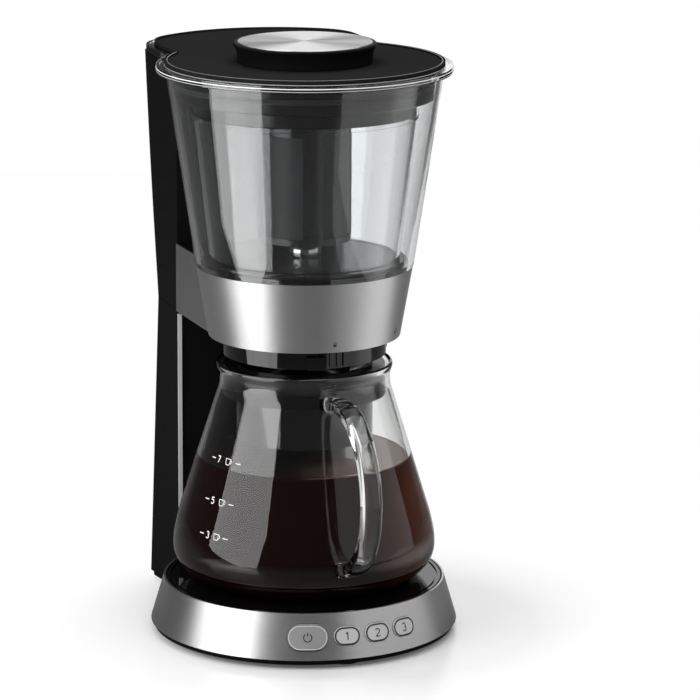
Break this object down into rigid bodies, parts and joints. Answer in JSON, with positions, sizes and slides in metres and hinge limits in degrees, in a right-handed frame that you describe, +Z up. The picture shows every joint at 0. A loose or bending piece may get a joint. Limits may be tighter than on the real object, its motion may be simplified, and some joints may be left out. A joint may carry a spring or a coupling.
{
  "type": "cold brew coffee maker",
  "caption": "Countertop cold brew coffee maker with a clear brew container, a spinning mesh basket, a glass carafe and push buttons on a round base.",
  "frame": {"origin": "centre of the bounding box on the table plane, under the feet", "axes": "+Z up; -Y is the front, with the buttons and the carafe's handle; the column is at +Y"},
  "size_m": [0.178, 0.26, 0.3434],
  "materials": {
    "black_plastic": "satin",
    "black_gloss": "gloss",
    "steel": "brushed",
    "bright_steel": "polished",
    "rubber": "matte",
    "button_grey": "satin",
    "light_trim": "satin",
    "board_green": "matte",
    "motor_metal": "satin",
    "clear_plastic": "clear",
    "clear_glass": "clear",
    "dark_filter": "satin",
    "mesh_grey": "fine mesh",
    "grey_silicone": "satin"
  },
  "bodies": {
    "machine": {"rubber_feet": "rubber", "base_tray": "black_plastic", "base_band": "steel", "base_deck": "black_gloss", "control_board": "board_green", "tact_switches": "motor_metal", "base_screws": "motor_metal", "cord_gland": "rubber", "column_lower": "black_plastic", "column_upper": "black_plastic", "trim_strips": "light_trim", "head_housing": "black_plastic", "head_band": "steel", "head_bottom": "black_plastic", "drive_motor": "motor_metal", "motor_posts": "motor_metal", "drain_valve": "black_plastic"},
    "start_button": {"button_start": "button_grey"},
    "mild_button": {"button_mild": "button_grey"},
    "medium_button": {"button_medium": "button_grey"},
    "bold_button": {"button_bold": "button_grey"},
    "drive": {"drive_coupling": "black_plastic"},
    "drain_stop": {"drain_plunger": "grey_silicone"},
    "lock": {"lock_ring": "black_plastic"},
    "container": {"brew_container": "clear_plastic", "container_base": "dark_filter", "floor_filter": "mesh_grey", "inner_vessel": "clear_plastic"},
    "basket": {"spindle_hub": "bright_steel", "basket_frame": "dark_filter", "basket_mesh": "mesh_grey", "basket_cap": "black_plastic"},
    "top_lid": {"lid": "black_plastic", "lid_skirt": "black_plastic", "lid_seal": "rubber", "knob_body": "black_plastic", "knob_cap": "steel", "knob_screw": "motor_metal"},
    "jug": {"carafe": "clear_glass", "carafe_handle": "clear_glass"},
    "jug_lid": {"carafe_lid": "black_gloss", "drip_cup": "black_gloss", "lid_seat": "grey_silicone"}
  },
  "joints": [
    {"name": "start_press", "type": "slide", "parent": "machine", "child": "start_button", "axis": [0.2804, 0.9172, -0.2832], "range_m": [0, 0.001], "stiffness_N_per_m": 600},
    {"name": "mild_press", "type": "slide", "parent": "machine", "child": "mild_button", "axis": [0.0318, 0.9585, -0.2832], "range_m": [0, 0.001], "stiffness_N_per_m": 600},
    {"name": "medium_press", "type": "slide", "parent": "machine", "child": "medium_button", "axis": [-0.1748, 0.943, -0.2832], "range_m": [0, 0.001], "stiffness_N_per_m": 600},
    {"name": "bold_press", "type": "slide", "parent": "machine", "child": "bold_button", "axis": [-0.3732, 0.8835, -0.2832], "range_m": [0, 0.001], "stiffness_N_per_m": 600},
    {"name": "drive_spin", "type": "hinge", "parent": "machine", "child": "drive", "pos_m": [0, -0.009, 0.206], "axis": [0, 0, 1], "continuous": true},
    {"name": "drain_push", "type": "slide", "parent": "machine", "child": "drain_stop", "axis": [0, 0, 1], "range_m": [0, 0.004], "stiffness_N_per_m": 200},
    {"name": "lock_turn", "type": "hinge", "parent": "machine", "child": "lock", "pos_m": [0, -0.009, 0.169], "axis": [0, 0, 1], "range_deg": [0, 48]},
    {"name": "container_lift", "type": "slide", "parent": "machine", "child": "container", "axis": [0, 0, 1], "range_m": [0, 0.15]},
    {"name": "basket_spin", "type": "hinge", "parent": "container", "child": "basket", "pos_m": [0, -0.009, 0.23], "axis": [0, 0, 1], "continuous": true},
    {"name": "lid_lift", "type": "slide", "parent": "container", "child": "top_lid", "axis": [0, 0, 1], "range_m": [0, 0.1]},
    {"name": "carafe_slide", "type": "slide", "parent": "machine", "child": "jug", "axis": [0, -1, 0], "range_m": [0, 0.2]},
    {"name": "carafe_lid_twist", "type": "hinge", "parent": "jug", "child": "jug_lid", "pos_m": [0, -0.009, 0.15], "axis": [0, 0, 1], "range_deg": [-60, 60]}
  ],
  "couplings": [
    {"joint": "basket_spin", "follows": "drive_spin", "ratio": 1}
  ]
}
